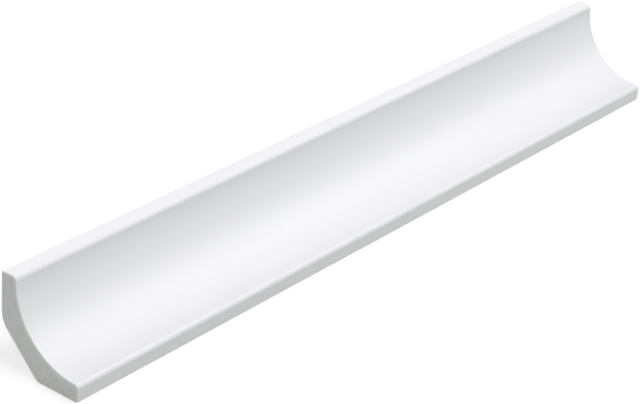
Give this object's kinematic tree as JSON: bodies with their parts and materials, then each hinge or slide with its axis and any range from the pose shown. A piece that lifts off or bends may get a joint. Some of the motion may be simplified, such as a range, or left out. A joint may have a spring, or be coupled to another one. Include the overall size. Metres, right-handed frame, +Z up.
{
  "type": "cove crown moulding length",
  "caption": "Straight length of cove crown moulding with a quarter-round hollow face between square lips, flat backs for wall and ceiling, a cut-away back corner and square sawn ends.",
  "frame": {"origin": "middle of the wall flat, the upright back face that is fixed to the wall", "axes": "+X along the length, +Y into the wall, +Z up as pictured, with the ceiling flat underneath; half a turn about Y puts the length up under a ceiling with the same flat against the wall"},
  "size_m": [0.285, 0.0292, 0.0292],
  "materials": {
    "white_foamed_plastic": "smooth satin white skin on the long faces, matt and slightly greyer where the ends are sawn"
  },
  "bodies": {
    "root": {"cove_crown_moulding": "white_foamed_plastic"}
  },
  "joints": []
}
